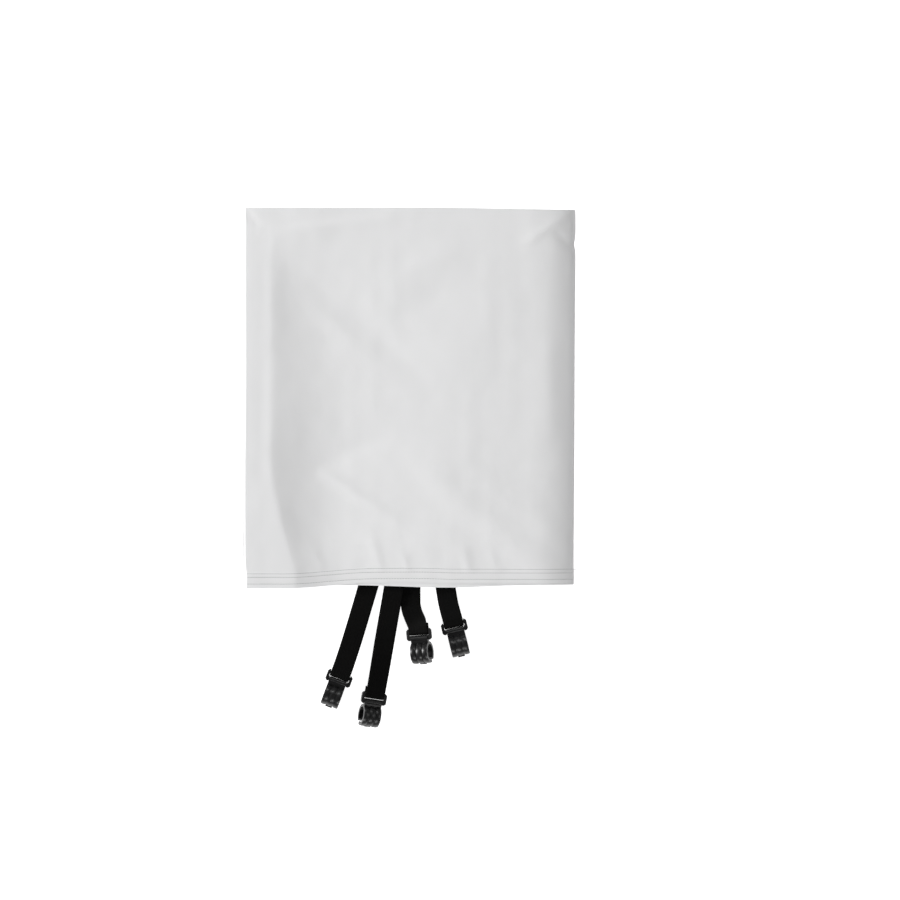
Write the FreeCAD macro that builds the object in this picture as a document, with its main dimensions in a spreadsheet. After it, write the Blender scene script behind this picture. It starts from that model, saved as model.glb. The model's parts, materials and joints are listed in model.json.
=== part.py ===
import FreeCAD, Part
import math
import os

import Sketcher
from FreeCAD import Placement, Rotation, Vector

# Folded rain cover for a rotary clothesline, with four webbing straps.
# +Z is up, -Y is the hemmed edge where the straps come out, and the origin is
# the centre of the cover's underside. Millimetres and degrees.

doc = FreeCAD.newDocument("clothesline_cover")
dims = doc.addObject("Spreadsheet::Sheet", "dims")

sizes = {
    # folded cover: a stack of layers, split into a lower and an upper half
    "cover_width": 414,
    "cover_depth": 474,
    "layer_pitch": 1.06,
    "layer_count": 16,
    "half_gap": 0.2,
    "edge_round": 3.6,
    "hem_height": 19,
    "hem_row_first": 3,
    "hem_row_pitch": 4.6,
    "hem_row_count": 3,
    "thread_width": 0.8,
    "thread_height": 0.3,
    "channel_play": 0.3,
    # webbing
    "web_width": 25,
    "web_thick": 1.5,
    "anchor_length": 60,
    "web_gap": 0.3,
    # strap 3 lies beside strap 2, under its edge, and its slider further right
    "pair_overlap": 4.5,
    "pair_drift": 11,
    "low_web_height": 2.1,
    "high_web_height": 6.6,
    # reinforcing patch and box stitch at the sewn end of a strap
    "patch_width": 32,
    "patch_length": 38,
    "patch_thick": 0.6,
    "box_side": 19,
    "box_thick": 0.3,
    # slider frame: two round bars joined by two cornered side pieces, which
    # reach frame_low below the lower bar's axis and frame_high above it
    "bar_radius": 2.1,
    "bar_spacing": 8.25,
    "side_width": 3.45,
    "side_play": 0.4,
    "frame_low": 2.9,
    "frame_high": 11.9,
    "frame_corner": 2.2,
    "frame_edge": 0.8,
    "shoulder_play": 0.4,
    "wrap_clearance": 0.1,
    "wrap_lead": 6,
    "tail_length": 10,
    # snap clip: a ribbed C-ring with a small eye on the slider's lower bar
    "pole_radius": 10,
    "clip_length": 22.3,
    "clip_wall": 2.6,
    "rib_height": 1.15,
    "rib_crown": 0.45,
    "groove_width": 1.6,
    "eye_clearance": 0.15,
    "eye_wall": 1.2,
    "eye_slot": 3.5,
    "neck_length": 1.7,
    "neck_thick": 5,
    "arm_end_angle": -8,
    "heel_end_angle": -34,
    "tab_width": 8.5,
    "tab_thick": 2.6,
    "tab_reach": 1.1,
}

# Each strap: where it crosses the hem, how far beyond it the free run starts,
# the turn about +Z of its hidden end and of its slider, the slider's place
# (its frame's middle), its roll about the strap, the clip's turn about the bar,
# and whether it is sewn to the upper or the lower panel.
straps = {
    "strap_1": {
        "exit_x": -52, "free_start": 8, "exit_turn": -16.5, "slider_turn": -20.5,
        "slider_x": -88.2, "slider_y": -351.8, "roll": 0, "clip_turn": 0, "high": 0,
    },
    "strap_2": {
        "exit_x": -19.5, "free_start": 21, "exit_turn": -10, "slider_turn": -10.5,
        "slider_x": -44.4, "slider_y": -376.3, "roll": 18, "clip_turn": 15, "high": 1,
    },
    "strap_3": {
        "exit_x": "=strap_2_exit_x + web_width - pair_overlap", "free_start": 13,
        "exit_turn": 0, "slider_turn": 6, "slider_x": "=strap_3_exit_x + pair_drift",
        "slider_y": -296.6, "roll": -18, "clip_turn": 10, "high": 0,
    },
    "strap_4": {
        "exit_x": 44.8, "free_start": 8, "exit_turn": 9, "slider_turn": 14,
        "slider_x": 56.1, "slider_y": -287.5, "roll": 0, "clip_turn": 0, "high": 1,
    },
}

for strap, places in straps.items():
    for key, value in places.items():
        sizes[f"{strap}_{key}"] = value

for row, (alias, value) in enumerate(sizes.items(), start=1):
    dims.set(f"A{row}", alias)
    dims.set(f"B{row}", str(value))
    dims.setAlias(f"B{row}", alias)
doc.recompute()


def size(alias):
    """The sheet's value as a plain number."""
    return float(getattr(dims, alias))


def spell(expression):
    """An expression with each alias written as a cell of the sheet."""
    words = sorted(sizes, key=len, reverse=True)
    parts = [expression]
    for word in words:
        split = []
        for piece in parts:
            if piece.startswith("dims."):
                split.append(piece)
                continue
            chunks = piece.split(word)
            for i, chunk in enumerate(chunks):
                if i:
                    split.append("dims." + word)
                if chunk:
                    split.append(chunk)
        parts = split
    return "".join(parts)


def value_of(expression):
    result = dims.evalExpression(spell(expression))
    return float(getattr(result, "Value", result))


# --- small helpers for bodies and sketches ---


def new_body(label):
    body = doc.addObject("PartDesign::Body", label)
    body.Label = label
    return body


def new_sketch(body, plane, name):
    sketch = body.newObject("Sketcher::SketchObject", name)
    origin = next(f for f in body.Origin.OriginFeatures if f.Role == plane)
    sketch.AttachmentSupport = [(origin, "")]
    sketch.MapMode = "FlatFace"
    return sketch


def bind(sketch, constraint, expression):
    index = sketch.addConstraint(constraint)
    sketch.setExpression(f"Constraints[{index}]", spell(expression))


def pin_point(sketch, geometry, point, at):
    """Ties a sketch point to two coordinates, each an expression."""
    for kind, expression in zip(("DistanceX", "DistanceY"), at):
        value = value_of(expression)
        bind(sketch, Sketcher.Constraint(kind, geometry, point, value), expression)


def outline(body, plane, name, corners):
    """A closed outline of straight edges through corners, each (x, y) in expressions."""
    sketch = new_sketch(body, plane, name)
    points = [Vector(value_of(x), value_of(y), 0) for x, y in corners]
    ends = points[1:] + points[:1]
    for start, end in zip(points, ends):
        sketch.addGeometry(Part.LineSegment(start, end), False)
    count = len(points)
    for i, corner in enumerate(corners):
        sketch.addConstraint(Sketcher.Constraint("Coincident", i, 2, (i + 1) % count, 1))
        pin_point(sketch, i, 1, corner)
    return sketch


def disc(body, plane, name, centre, radius):
    sketch = new_sketch(body, plane, name)
    middle = Vector(value_of(centre[0]), value_of(centre[1]), 0)
    circle = Part.Circle(middle, Vector(0, 0, 1), value_of(radius))
    sketch.addGeometry(circle, False)
    pin_point(sketch, 0, 3, centre)
    bind(sketch, Sketcher.Constraint("Radius", 0, value_of(radius)), radius)
    return sketch


def pad(body, sketch, length):
    """Adds the sketch as a solid of that length, half on each side of its plane."""
    feature = body.newObject("PartDesign::Pad", sketch.Name + "_pad")
    feature.Profile = sketch
    feature.Midplane = True
    feature.setExpression("Length", spell(length))
    sketch.Visibility = False
    return feature


def pocket(body, sketch, length):
    """Cuts the sketch away over that length, half on each side of its plane."""
    feature = body.newObject("PartDesign::Pocket", sketch.Name + "_cut")
    feature.Profile = sketch
    feature.Midplane = True
    feature.setExpression("Length", spell(length))
    sketch.Visibility = False
    return feature


def rectangle(x_low, x_high, y_low, y_high):
    return [(x_low, y_low), (x_high, y_low), (x_high, y_high), (x_low, y_high)]


def box_between(label, low, high):
    """A box from one corner to the other, both in expressions."""
    box = doc.addObject("Part::Box", label)
    for side, start, end in zip(("Length", "Width", "Height"), low, high):
        box.setExpression(side, spell(f"({end}) - ({start})"))
    for axis, start in zip("xyz", low):
        box.setExpression(f"Placement.Base.{axis}", spell(start))
    return box


# --- the folded cover ---

half_height = "(layer_count * layer_pitch - half_gap) / 2"
upper_start = "(layer_count * layer_pitch + half_gap) / 2"
full_height = "layer_count * layer_pitch"
left_edge = "-cover_width / 2"
spine_x = "cover_width / 2 - layer_count * layer_pitch / 2"
back_edge = "cover_depth / 2"
front_edge = "-cover_depth / 2"
hem_line = "-cover_depth / 2 + hem_height"


def round_edges(label, base, edges):
    """Rounds the base's edges that the test picks, by the cover's edge radius."""
    doc.recompute()
    rounded = doc.addObject("Part::Fillet", label)
    rounded.Base = base
    radius = size("edge_round")
    picked = [i for i, edge in enumerate(base.Shape.Edges, start=1) if edges(edge)]
    rounded.Edges = [(i, radius, radius) for i in picked]
    base.Visibility = False
    return rounded


def strap_direction(turn):
    """Unit vector along a strap, away from the cover."""
    return Vector(math.sin(math.radians(turn)), -math.cos(math.radians(turn)), 0)


def web_height(strap):
    high = size(f"{strap}_high") > 0
    return size("high_web_height" if high else "low_web_height")


def exit_point(strap):
    return Vector(size(f"{strap}_exit_x"), -size("cover_depth") / 2, web_height(strap))


def pivot_point(strap):
    """The middle of the webbing where the free run starts."""
    direction = strap_direction(size(f"{strap}_exit_turn"))
    return exit_point(strap) + direction * size(f"{strap}_free_start")


def strap_turn(strap):
    return Rotation(Vector(0, 0, 1), size(f"{strap}_exit_turn"))


def hidden_box(label, strap, width, start, end, low, high):
    """A box along the strap's hidden end, from start to end behind the hem."""
    box = doc.addObject("Part::Box", label)
    box.setExpression("Length", spell(width))
    box.setExpression("Width", spell(f"({end}) - ({start})"))
    box.setExpression("Height", spell(f"({high}) - ({low})"))
    turn = strap_turn(strap)
    corner = Vector(-value_of(width) / 2, value_of(start), value_of(low))
    base = exit_point(strap) + turn.multVec(corner)
    box.Placement = Placement(base, turn)
    return box


def channels():
    """The room that the sewn strap ends need between the cover's layers."""
    rooms = []
    for strap in straps:
        room = hidden_box(
            f"{strap}_room", strap, "patch_width + 2 * channel_play",
            "anchor_length - patch_length - channel_play", "anchor_length + channel_play",
            "-web_thick / 2 - box_thick - channel_play",
            "web_thick / 2 + patch_thick + channel_play",
        )
        way = hidden_box(
            f"{strap}_way", strap, "web_width + 2 * channel_play",
            "-hem_height", "anchor_length + channel_play",
            "-web_thick / 2 - channel_play", "web_thick / 2 + channel_play",
        )
        rooms += [room, way]
    together = doc.addObject("Part::MultiFuse", "strap_channels")
    together.Shapes = rooms
    return together


def cut_away(label, base, tool):
    cut = doc.addObject("Part::Cut", label)
    cut.Base = base
    cut.Tool = tool
    return cut


def on_back(edge):
    box = edge.BoundBox
    along_x = box.XLength > box.YLength + box.ZLength
    return along_x and box.YMin > 0


def on_left_or_back(edge):
    box = edge.BoundBox
    along_y = box.YLength > box.XLength + box.ZLength
    return on_back(edge) or (along_y and box.XMax < 0)


def make_cover():
    rooms = channels()
    lower = box_between(
        "lower_stack",
        (left_edge, hem_line, "0"),
        (f"{spine_x} - half_gap", back_edge, half_height),
    )
    upper = box_between(
        "upper_stack",
        (left_edge, hem_line, upper_start),
        (f"{spine_x} - half_gap", back_edge, full_height),
    )
    lower_hem = box_between(
        "lower_hem_stack",
        (left_edge, front_edge, "0"),
        (f"{spine_x} - half_gap", hem_line, half_height),
    )
    upper_hem = box_between(
        "cover_upper_hem",
        (left_edge, front_edge, upper_start),
        (f"{spine_x} - half_gap", hem_line, full_height),
    )
    lower_round = round_edges("lower_round", lower, on_back)
    return [
        cut_away("cover_lower_half", lower_round, rooms),
        cut_away("cover_lower_hem", lower_hem, rooms),
        round_edges("cover_upper_half", upper, on_left_or_back),
        upper_hem,
        make_spine(),
        make_hem_stitching(),
    ]


def make_spine():
    """The thick fold that joins the two halves, a half-round along Y."""
    spine = doc.addObject("Part::Cylinder", "cover_spine")
    spine.setExpression("Radius", spell("layer_count * layer_pitch / 2"))
    spine.setExpression("Height", spell("cover_depth"))
    spine.Angle = 180
    height = size("layer_count") * size("layer_pitch") / 2
    base = Vector(value_of(spine_x), size("cover_depth") / 2, height)
    lay_down = Rotation(Vector(1, 0, 0), 90)
    face_right = Rotation(Vector(0, 1, 0), 90)
    spine.Placement = Placement(base, face_right.multiply(lay_down))
    return spine


def make_hem_stitching():
    """Rows of thread along the top of the hem."""
    rows = []
    for i in range(int(size("hem_row_count"))):
        low_y = f"{front_edge} + hem_row_first + {i} * hem_row_pitch"
        row = box_between(
            f"hem_row_{i + 1}",
            (f"{left_edge} + hem_row_first", low_y, full_height),
            (f"{spine_x} - half_gap", f"{low_y} + thread_width",
             f"{full_height} + thread_height"),
        )
        rows.append(row)
    stitching = doc.addObject("Part::Compound", "hem_stitching")
    stitching.Links = rows
    return stitching


# --- straps ---


def make_anchor(strap):
    """The webbing from its sewn end out to where the free run starts."""
    free_start = f"{strap}_free_start"
    return hidden_box(
        f"{strap}_anchor", strap, "web_width",
        f"-{free_start} + web_gap", "anchor_length",
        "-web_thick / 2", "web_thick / 2",
    )


def make_patch(strap):
    return hidden_box(
        f"{strap}_patch", strap, "patch_width",
        "anchor_length - patch_length", "anchor_length",
        "web_thick / 2", "web_thick / 2 + patch_thick",
    )


def make_box_stitch(strap):
    """A square of thread with a cross in it, through the webbing's underside."""
    side = size("box_side")
    thread = size("thread_width")
    depth = size("box_thick")
    reach = side * math.sqrt(2) - thread
    bars = []
    for turn in (0, 90, 180, 270):
        bar = Part.makeBox(side, thread, depth, Vector(-side / 2, -side / 2, 0))
        bar.rotate(Vector(), Vector(0, 0, 1), turn)
        bars.append(bar)
    for turn in (45, 135):
        bar = Part.makeBox(reach, thread, depth, Vector(-reach / 2, -thread / 2, 0))
        bar.rotate(Vector(), Vector(0, 0, 1), turn)
        bars.append(bar)
    stitch = doc.addObject("Part::Feature", f"{strap}_box_stitch")
    stitch.Shape = bars[0].multiFuse(bars[1:]).removeSplitter()
    behind = size("anchor_length") - size("web_width") / 2
    middle = Vector(0, behind, -size("web_thick") / 2 - depth)
    turn = strap_turn(strap)
    stitch.Placement = Placement(exit_point(strap) + turn.multVec(middle), turn)
    return stitch


def slider_place(strap, height):
    """Placement of a slider: its lower bar's middle, X along the bar, +Y to the cover."""
    turn = size(f"{strap}_slider_turn")
    frame_middle = Vector(size(f"{strap}_slider_x"), size(f"{strap}_slider_y"), height)
    middle_height = (size("frame_high") - size("frame_low")) / 2
    bar = frame_middle + strap_direction(turn) * middle_height
    upright = Rotation(Vector(0, 0, 1), turn)
    rolled = Rotation(Vector(0, 1, 0), size(f"{strap}_roll"))
    return Placement(bar, upright.multiply(rolled))


def clip_place(strap, height):
    """The clip shares the slider's place, turned about its bar."""
    turned = Rotation(Vector(1, 0, 0), size(f"{strap}_clip_turn"))
    return slider_place(strap, height).multiply(Placement(Vector(), turned))


def make_run(strap, place):
    """The free webbing, from its start to the slider, as a ruled strip."""
    pivot = pivot_point(strap)
    gap = strap_direction(size(f"{strap}_exit_turn")) * size("web_gap")
    start = Placement(pivot + gap, strap_turn(strap))
    wrap_height = size("bar_radius") + size("wrap_clearance") + size("web_thick") / 2
    reach = size("bar_spacing") + size("wrap_lead") + size("web_gap")
    end = place.multiply(Placement(Vector(0, reach, wrap_height), Rotation()))
    half_width = size("web_width") / 2
    half_thick = size("web_thick") / 2
    corners = [(-1, -1), (1, -1), (1, 1), (-1, 1)]
    sections = []
    for at in (start, end):
        ring = [at.multVec(Vector(a * half_width, 0, b * half_thick)) for a, b in corners]
        sections.append(Part.makePolygon(ring + ring[:1]))
    run = doc.addObject("Part::Feature", f"{strap}_run")
    run.Shape = Part.makeLoft(sections, True, True)
    return run


def make_loop(strap, place):
    """The webbing over the slider's upper bar, and its tail underneath."""
    body = new_body(f"{strap}_loop")
    inner = "(bar_radius + wrap_clearance)"
    outer = f"({inner} + web_thick)"
    turn = disc(body, "YZ_Plane", f"{strap}_turn", ("bar_spacing", "0"), outer)
    pad(body, turn, "web_width")
    tail = outline(
        body, "YZ_Plane", f"{strap}_tail",
        rectangle("bar_spacing", "bar_spacing + tail_length", f"-{outer}", f"-{inner}"),
    )
    pad(body, tail, "web_width")
    lead = outline(
        body, "YZ_Plane", f"{strap}_lead",
        rectangle("bar_spacing", "bar_spacing + wrap_lead", inner, outer),
    )
    pad(body, lead, "web_width")
    eye = disc(body, "YZ_Plane", f"{strap}_bar_way", ("bar_spacing", "0"), inner)
    pocket(body, eye, "2 * web_width")
    behind = outline(
        body, "YZ_Plane", f"{strap}_behind",
        rectangle("bar_spacing", "bar_spacing + 2 * tail_length", f"-{inner}", inner),
    )
    body.Tip = pocket(body, behind, "2 * web_width")
    body.Placement = place
    return body


# --- slider and clip ---

eye_outer = "(bar_radius + eye_clearance + eye_wall)"


def make_slider(strap, place):
    """Two round bars between two side pieces with cut corners and rounded edges."""
    body = new_body(f"{strap}_slider")
    inside = "(web_width / 2 + side_play)"
    outside = f"({inside} + side_width)"
    shoulder = "(clip_length / 2 + shoulder_play)"
    low, high, corner = "-frame_low", "frame_high", "frame_corner"
    plate = outline(body, "XY_Plane", f"{strap}_plate", [
        (f"-{outside} + {corner}", low), (f"{outside} - {corner}", low),
        (outside, f"{low} + {corner}"), (outside, f"{high} - {corner}"),
        (f"{outside} - {corner}", high), (f"-{outside} + {corner}", high),
        (f"-{outside}", f"{high} - {corner}"), (f"-{outside}", f"{low} + {corner}"),
    ])
    block = pad(body, plate, "2 * bar_radius")
    doc.recompute()
    rounded = body.newObject("PartDesign::Fillet", f"{strap}_plate_edges")
    edges = enumerate(block.Shape.Edges, start=1)
    flat = [f"Edge{i}" for i, edge in edges if edge.BoundBox.ZLength < 0.1]
    rounded.Base = (block, flat)
    rounded.setExpression("Radius", spell("frame_edge"))
    far = "2 * frame_high"
    window = outline(body, "XY_Plane", f"{strap}_window", [
        (f"-{shoulder}", f"-{far}"), (shoulder, f"-{far}"), (shoulder, eye_outer),
        (inside, eye_outer), (inside, far), (f"-{inside}", far),
        (f"-{inside}", eye_outer), (f"-{shoulder}", eye_outer),
    ])
    pocket(body, window, "4 * bar_radius")
    for name, at in (("lower", "0"), ("upper", "bar_spacing")):
        bar = disc(body, "YZ_Plane", f"{strap}_{name}_bar", (at, "0"), "bar_radius")
        body.Tip = pad(body, bar, f"2 * {inside} + side_width")
    body.Placement = place
    return body


bore = "pole_radius"
rib_root = "(pole_radius + clip_wall)"
rib_top = "(pole_radius + clip_wall + rib_height)"
ring_reach = f"({rib_top} + {eye_outer} + neck_length)"


def rib_profile(body, name):
    """Half-section of the ring: a plain wall with three crowned bands on it."""
    sketch = new_sketch(body, "XY_Plane", name)
    half = size("clip_length") / 2
    groove = size("groove_width")
    band = (size("clip_length") - 2 * groove) / 3
    centre = -value_of(ring_reach)
    wall = value_of(bore)
    root = value_of(rib_root)
    top = value_of(rib_top)
    shoulder = top - size("rib_crown")
    edges = []
    last = Vector(-half, centre - wall, 0)
    first = last
    for i in range(3):
        low = -half + i * (band + groove)
        up = Vector(low, centre - shoulder, 0)
        crown = Vector(low + band / 2, centre - top, 0)
        down = Vector(low + band, centre - shoulder, 0)
        edges.append(Part.LineSegment(last, up))
        edges.append(Part.Arc(up, crown, down))
        last = down
        if i < 2:
            floor_start = Vector(low + band, centre - root, 0)
            floor_end = Vector(low + band + groove, centre - root, 0)
            edges.append(Part.LineSegment(down, floor_start))
            edges.append(Part.LineSegment(floor_start, floor_end))
            last = floor_end
    corner = Vector(half, centre - wall, 0)
    edges.append(Part.LineSegment(last, corner))
    edges.append(Part.LineSegment(corner, first))
    sketch.addGeometry(edges, False)
    axis = Part.LineSegment(Vector(-half, centre, 0), Vector(half, centre, 0))
    sketch.addGeometry(axis, True)
    return sketch


def wedge(name, body, start_angle, end_angle):
    """The sector between two angles about the ring's centre, 0 pointing away from the eye."""
    far = "3 * pole_radius"
    corners = [(f"-{ring_reach}", "0")]
    for share in (0, 0.5, 1):
        angle = f"({start_angle} + {share} * ({end_angle} - {start_angle})) * 1 deg"
        corners.append((f"-{ring_reach} - {far} * cos({angle})", f"{far} * sin({angle})"))
    return outline(body, "YZ_Plane", name, corners)


def make_clip(strap, place):
    body = new_body(f"{strap}_clip")
    eye = disc(body, "YZ_Plane", f"{strap}_eye", ("0", "0"), eye_outer)
    pad(body, eye, "clip_length")
    neck = outline(
        body, "YZ_Plane", f"{strap}_neck",
        rectangle(f"-{ring_reach} + pole_radius", "0", "-neck_thick / 2", "neck_thick / 2"),
    )
    pad(body, neck, "clip_length")
    ring = body.newObject("PartDesign::Revolution", f"{strap}_ring")
    profile = rib_profile(body, f"{strap}_ribs")
    ring.Profile = profile
    ring.ReferenceAxis = (profile, ["Axis0"])
    ring.Angle = 360
    profile.Visibility = False
    hole = disc(body, "YZ_Plane", f"{strap}_bore", (f"-{ring_reach}", "0"), bore)
    pocket(body, hole, "2 * clip_length")
    bar_hole = disc(
        body, "YZ_Plane", f"{strap}_bar_hole", ("0", "0"), "bar_radius + eye_clearance"
    )
    pocket(body, bar_hole, "2 * clip_length")
    slot = outline(
        body, "YZ_Plane", f"{strap}_eye_slot",
        rectangle("-eye_slot / 2", "eye_slot / 2", "-2 * bar_radius - eye_wall", "0"),
    )
    pocket(body, slot, "2 * clip_length")
    mouth = wedge(f"{strap}_mouth", body, "heel_end_angle", "arm_end_angle")
    pocket(body, mouth, "2 * clip_length")
    tab = outline(
        body, "YZ_Plane", f"{strap}_tab",
        rectangle(f"-{ring_reach} - {rib_top} - tab_reach", f"-{ring_reach} - {rib_root} + 0.6",
                  "-tab_thick / 2", "tab_thick / 2"),
    )
    body.Tip = pad(body, tab, "tab_width")
    body.Placement = place
    return body


def lowest(obj):
    return obj.Shape.optimalBoundingBox(False).ZMin


def show(strap, what, vector):
    print(strap, what, tuple(round(c, 5) for c in vector))


def make_strap(strap):
    """One strap with its slider and clip. The clip's lowest point is on the ground."""
    clip = make_clip(strap, clip_place(strap, 0))
    doc.recompute()
    height = -lowest(clip)
    clip.Placement = clip_place(strap, height)
    place = slider_place(strap, height)
    centre = clip.Placement.multVec(Vector(0, -value_of(ring_reach), 0))
    axis = clip.Placement.Rotation.multVec(Vector(1, 0, 0))
    pivot = pivot_point(strap)
    show(strap, "pivot", pivot)
    show(strap, "lift_axis", strap_turn(strap).multVec(Vector(1, 0, 0)))
    show(strap, "bar", place.Base)
    show(strap, "outward", strap_direction(size(f"{strap}_slider_turn")))
    show(strap, "ring", centre)
    show(strap, "ring_axis", axis)
    return [
        make_anchor(strap),
        make_patch(strap),
        make_box_stitch(strap),
        make_run(strap, place),
        make_loop(strap, place),
        make_slider(strap, place),
        clip,
    ]


nodes = make_cover()
for strap in straps:
    nodes += make_strap(strap)
doc.recompute()

for obj in doc.Objects:
    if "Invalid" in obj.State or "Error" in obj.State:
        raise RuntimeError(f"{obj.Label}: {obj.State}")
for node in nodes:
    if node.Shape.isNull() or not node.Shape.isValid():
        raise RuntimeError(f"{node.Label} has no valid shape")

os.makedirs("parts", exist_ok=True)
for node in nodes:
    node.Shape.exportStep(f"parts/{node.Label}.step")
    box = node.Shape.optimalBoundingBox(False)
    print(f"{node.Label:22s} {len(node.Shape.Solids)} solid, {node.Shape.Volume:10.0f} mm3,"
          f" z {box.ZMin:6.2f} to {box.ZMax:6.2f}")
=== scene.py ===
import json
import math
import random

import bpy
import numpy as np
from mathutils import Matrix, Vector


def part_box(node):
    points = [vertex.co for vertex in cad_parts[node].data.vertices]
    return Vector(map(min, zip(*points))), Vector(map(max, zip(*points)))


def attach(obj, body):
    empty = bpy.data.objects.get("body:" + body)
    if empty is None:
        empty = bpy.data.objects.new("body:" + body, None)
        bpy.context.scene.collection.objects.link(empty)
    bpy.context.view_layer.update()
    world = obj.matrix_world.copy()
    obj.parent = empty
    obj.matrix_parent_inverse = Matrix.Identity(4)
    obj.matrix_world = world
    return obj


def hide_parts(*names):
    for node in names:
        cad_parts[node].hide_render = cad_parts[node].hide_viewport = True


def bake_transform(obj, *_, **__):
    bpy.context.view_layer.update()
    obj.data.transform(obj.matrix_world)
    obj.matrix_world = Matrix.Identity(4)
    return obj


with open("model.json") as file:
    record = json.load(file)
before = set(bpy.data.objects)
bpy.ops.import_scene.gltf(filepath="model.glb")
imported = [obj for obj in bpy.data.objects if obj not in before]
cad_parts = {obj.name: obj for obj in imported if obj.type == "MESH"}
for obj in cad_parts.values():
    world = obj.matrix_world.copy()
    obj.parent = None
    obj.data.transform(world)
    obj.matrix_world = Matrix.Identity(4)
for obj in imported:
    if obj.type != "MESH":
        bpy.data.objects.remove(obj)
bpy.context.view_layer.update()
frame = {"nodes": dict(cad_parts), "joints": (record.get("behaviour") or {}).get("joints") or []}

# A folded rain cover for a rotary clothesline, with four webbing straps that
# end in a slider and a snap clip. Metres; +Z up, -Y is the hemmed edge.

joints = {joint["name"]: joint for joint in frame["joints"]}
straps = ["strap_1", "strap_2", "strap_3", "strap_4"]


class Wire:
    # A node socket that can be used in Python arithmetic.

    def __init__(self, graph, socket):
        self.graph = graph
        self.socket = socket

    def _maths(self, operation, first, second):
        return self.graph.node("ShaderNodeMath", {"operation": operation}, {0: first, 1: second})

    def __add__(self, other):
        return self._maths("ADD", self, other)

    def __radd__(self, other):
        return self._maths("ADD", other, self)

    def __sub__(self, other):
        return self._maths("SUBTRACT", self, other)

    def __rsub__(self, other):
        return self._maths("SUBTRACT", other, self)

    def __mul__(self, other):
        return self._maths("MULTIPLY", self, other)

    def __rmul__(self, other):
        return self._maths("MULTIPLY", other, self)


class Graph:
    # A node tree. One method adds any node and links or sets its inputs.

    def __init__(self, tree):
        self.tree = tree

    def node(self, kind, settings=None, inputs=None, output=0):
        made = self.tree.nodes.new(kind)
        for key, value in (settings or {}).items():
            if key == "stops":
                self._setStops(made, value)
            else:
                setattr(made, key, value)
        for key, value in (inputs or {}).items():
            if isinstance(value, Wire):
                self.tree.links.new(value.socket, made.inputs[key])
            else:
                made.inputs[key].default_value = value
        return Wire(self, made.outputs[output]) if made.outputs else made

    def _setStops(self, made, stops):
        elements = made.color_ramp.elements
        while len(elements) < len(stops):
            elements.new(1.0)
        for element, (position, colour) in zip(elements, stops):
            element.position = position
            element.color = (*colour, 1.0)

    def outputs(self, wire):
        return wire.socket.node.outputs


def newMaterial(name, constants):
    # A material with a Principled shader, its graph, and the shader's inputs.
    material = bpy.data.materials.new(name)
    material.use_nodes = True
    graph = Graph(material.node_tree)
    shader = material.node_tree.nodes["Principled BSDF"]
    for key, value in constants.items():
        shader.inputs[key].default_value = value
    return material, graph, shader


def link(graph, wire, shader, socket):
    graph.tree.links.new(wire.socket, shader.inputs[socket])


def coatedFabric(name, tone, seed):
    # Thin woven polyester with a smooth coating, on the sheet's own flat coordinates.
    look = {
        "threadPitch": 0.00065,
        "weaveHeight": 0.00004,
        "creaseHeight": 0.0005,
        "patchiness": 0.03,
    }
    material, graph, shader = newMaterial(name, {
        "Roughness": 0.42, "Specular IOR Level": 0.34, "Sheen Weight": 0.10,
        "Sheen Roughness": 0.4, "Coat Weight": 0.06, "Coat Roughness": 0.32,
    })
    flat = graph.node("ShaderNodeUVMap", {"uv_map": "flat"})
    parts = graph.node("ShaderNodeSeparateXYZ", inputs={0: flat})
    along = Wire(graph, graph.outputs(parts)[0])
    across = Wire(graph, graph.outputs(parts)[1])
    turn = 2 * math.pi / look["threadPitch"]
    warp = graph.node("ShaderNodeMath", {"operation": "SINE"}, {0: along * turn})
    weft = graph.node("ShaderNodeMath", {"operation": "SINE"}, {0: across * turn})
    weave = warp * weft
    objectSpace = Wire(graph, graph.tree.nodes.new("ShaderNodeTexCoord").outputs["Object"])
    soft = graph.node("ShaderNodeTexNoise", {"noise_dimensions": "4D"},
                      {"Vector": objectSpace, "W": seed, "Scale": 9.0, "Detail": 3.0,
                       "Roughness": 0.5})
    crinkle = graph.node("ShaderNodeTexNoise", {"noise_dimensions": "4D"},
                         {"Vector": objectSpace, "W": seed + 3.0, "Scale": 42.0,
                          "Detail": 4.0, "Roughness": 0.55})
    shade = 1 + (soft - 0.5) * look["patchiness"] + weave * 0.012
    colour = graph.node("ShaderNodeMix", {"data_type": "RGBA", "blend_type": "MULTIPLY"},
                        {"Factor": 1.0, 6: (*tone, 1.0), 7: shade}, output=2)
    link(graph, colour, shader, "Base Color")
    rough = 0.40 + (crinkle - 0.5) * 0.14 + (soft - 0.5) * 0.08
    link(graph, rough, shader, "Roughness")
    height = weave * look["weaveHeight"] + crinkle * look["creaseHeight"]
    bump = graph.node("ShaderNodeBump", inputs={"Strength": 0.55, "Distance": 1.0, "Height": height})
    link(graph, bump, shader, "Normal")
    return material


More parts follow.
